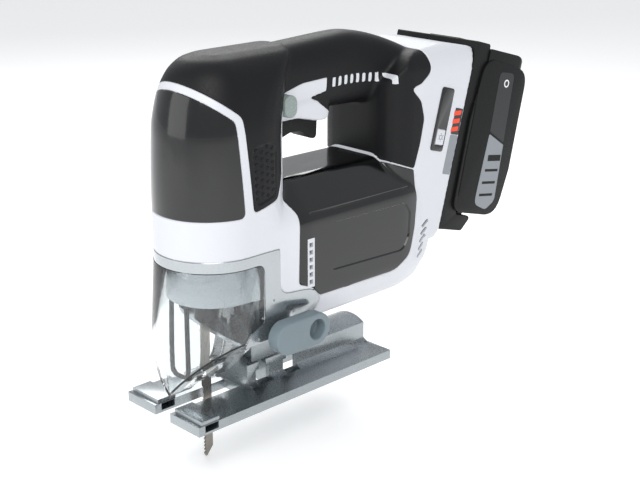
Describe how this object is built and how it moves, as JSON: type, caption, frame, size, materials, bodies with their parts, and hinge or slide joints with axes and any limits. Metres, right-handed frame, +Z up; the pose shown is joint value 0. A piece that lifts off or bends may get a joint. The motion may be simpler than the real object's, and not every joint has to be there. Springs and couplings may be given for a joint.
{
  "type": "cordless jigsaw",
  "caption": "Cordless D-handle jigsaw with forked tilting sole, reciprocating blade, clear dust cover, side-mounted orbital selector and slide-on rear battery pack.",
  "frame": {"origin": "centre of the sole's underside, on the line of the cut", "axes": "+X to the rear (the cut advances along -X), +Y to the tool's right, +Z up and square to the sole"},
  "size_m": [0.306, 0.09, 0.2642],
  "materials": {
    "white_shell": "satin moulded",
    "soft_grip": "satin soft-touch",
    "black_gloss": "gloss moulded",
    "black_matte": "fine-textured moulded",
    "clear_plastic": "clear moulded",
    "cast_aluminium": "die-cast satin",
    "bright_skirt": "smooth satin",
    "steel": "ground",
    "dark_steel": "blackened",
    "blade_steel": "ground",
    "bronze": "sintered bronze",
    "copper": "enamelled copper",
    "magnet": "ferrite",
    "carbon": "pressed carbon",
    "grey_knob": "satin moulded",
    "grey_button": "satin moulded",
    "white_button": "satin moulded",
    "board_green": "solder mask",
    "lamp_lens": "clear",
    "cell_wrap": "shrink wrap"
  },
  "bodies": {
    "housing": {"housing_left": "white_shell", "housing_right": "white_shell", "vent_grilles": "white_shell", "grip_left": "soft_grip", "grip_right": "soft_grip", "front_cover": "black_gloss", "motor_panel_left": "black_gloss", "motor_panel_right": "black_gloss", "control_panel": "black_gloss", "gear_skirt": "bright_skirt", "gear_case": "cast_aluminium", "gear_case_cover": "cast_aluminium", "seat_bracket": "cast_aluminium", "wire_guard": "dark_steel", "plunger_bushes": "bronze", "gear_pin": "steel", "arm_pin": "steel", "motor_can": "dark_steel", "motor_magnets": "magnet", "brush_holder": "black_matte", "carbon_brushes": "carbon", "brush_springs": "steel", "motor_bearings": "steel", "switch_body": "black_matte", "controller_board": "board_green", "terminal_block": "black_matte", "lamp_lens": "lamp_lens", "sole_bolts": "dark_steel", "housing_screws": "dark_steel"},
    "plunger": {"plunger": "steel", "yoke": "steel", "blade_clamp": "dark_steel", "blade": "blade_steel"},
    "collar": {"clamp_collar": "dark_steel"},
    "crank": {"crank_gear": "steel", "crank_pin": "steel", "balance_weight": "steel", "gear_bearing": "bronze"},
    "rotor": {"motor_shaft": "steel", "armature_core": "steel", "armature_windings": "copper", "commutator": "copper", "cooling_fan": "black_matte"},
    "roller_arm": {"roller_arm": "steel", "roller_pin": "steel"},
    "roller": {"guide_roller": "steel"},
    "orbital_knob": {"orbital_knob": "grey_knob", "orbital_cam": "steel"},
    "trigger": {"trigger": "black_matte", "trigger_spring": "steel"},
    "lock_button": {"lock_button": "grey_button"},
    "light_button": {"light_button": "white_button"},
    "sole": {"base_plate": "cast_aluminium"},
    "chip_cover": {"chip_cover": "clear_plastic"},
    "battery": {"battery_case": "black_matte", "battery_cover": "black_matte", "battery_cells": "cell_wrap", "battery_board": "board_green"},
    "release": {"battery_release": "black_matte"}
  },
  "joints": [
    {"name": "stroke", "type": "slide", "parent": "housing", "child": "plunger", "axis": [0, 0, -1], "range_m": [0, 0.026]},
    {"name": "collar_twist", "type": "hinge", "parent": "plunger", "child": "collar", "pos_m": [-0.048, 0, 0.06], "axis": [0, 0, 1], "range_deg": [0, 60], "stiffness_Nm_per_rad": 0.02},
    {"name": "motor_spin", "type": "hinge", "parent": "housing", "child": "rotor", "pos_m": [0, 0, 0.104], "axis": [1, 0, 0], "continuous": true},
    {"name": "crank_spin", "type": "hinge", "parent": "housing", "child": "crank", "pos_m": [-0.028, 0, 0.1328], "axis": [1, 0, 0], "continuous": true},
    {"name": "pendulum", "type": "hinge", "parent": "housing", "child": "roller_arm", "pos_m": [-0.026, 0, 0.06], "axis": [0, 1, 0], "range_deg": [-3, 0]},
    {"name": "roller_spin", "type": "hinge", "parent": "roller_arm", "child": "roller", "pos_m": [-0.0398, 0, 0.021], "axis": [0, 1, 0], "continuous": true},
    {"name": "orbital_select", "type": "hinge", "parent": "housing", "child": "orbital_knob", "pos_m": [-0.01, -0.045, 0.05], "axis": [0, -1, 0], "range_deg": [0, 105]},
    {"name": "trigger_squeeze", "type": "slide", "parent": "housing", "child": "trigger", "axis": [0, 0, 1], "range_m": [0, 0.005], "stiffness_N_per_m": 800, "deforming": ["trigger_spring"]},
    {"name": "lock_off_push", "type": "slide", "parent": "housing", "child": "lock_button", "axis": [0, 1, 0], "range_m": [0, 0.004], "stiffness_N_per_m": 500},
    {"name": "light_press", "type": "slide", "parent": "housing", "child": "light_button", "axis": [0, 1, 0], "range_m": [0, 0.0008], "stiffness_N_per_m": 800},
    {"name": "sole_bevel", "type": "hinge", "parent": "housing", "child": "sole", "pos_m": [0, 0, 0], "axis": [1, 0, 0], "range_deg": [-45, 45]},
    {"name": "chip_cover_pull", "type": "slide", "parent": "housing", "child": "chip_cover", "axis": [-1, 0, 0], "range_m": [0, 0.06]},
    {"name": "battery_slide", "type": "slide", "parent": "housing", "child": "battery", "axis": [0.2672, 0, 0.9636], "range_m": [0, 0.12]},
    {"name": "battery_release", "type": "slide", "parent": "battery", "child": "release", "axis": [-0.2672, 0, -0.9636], "range_m": [0, 0.003], "stiffness_N_per_m": 600}
  ],
  "couplings": [
    {"joint": "crank_spin", "follows": "motor_spin", "ratio": -0.14286}
  ]
}
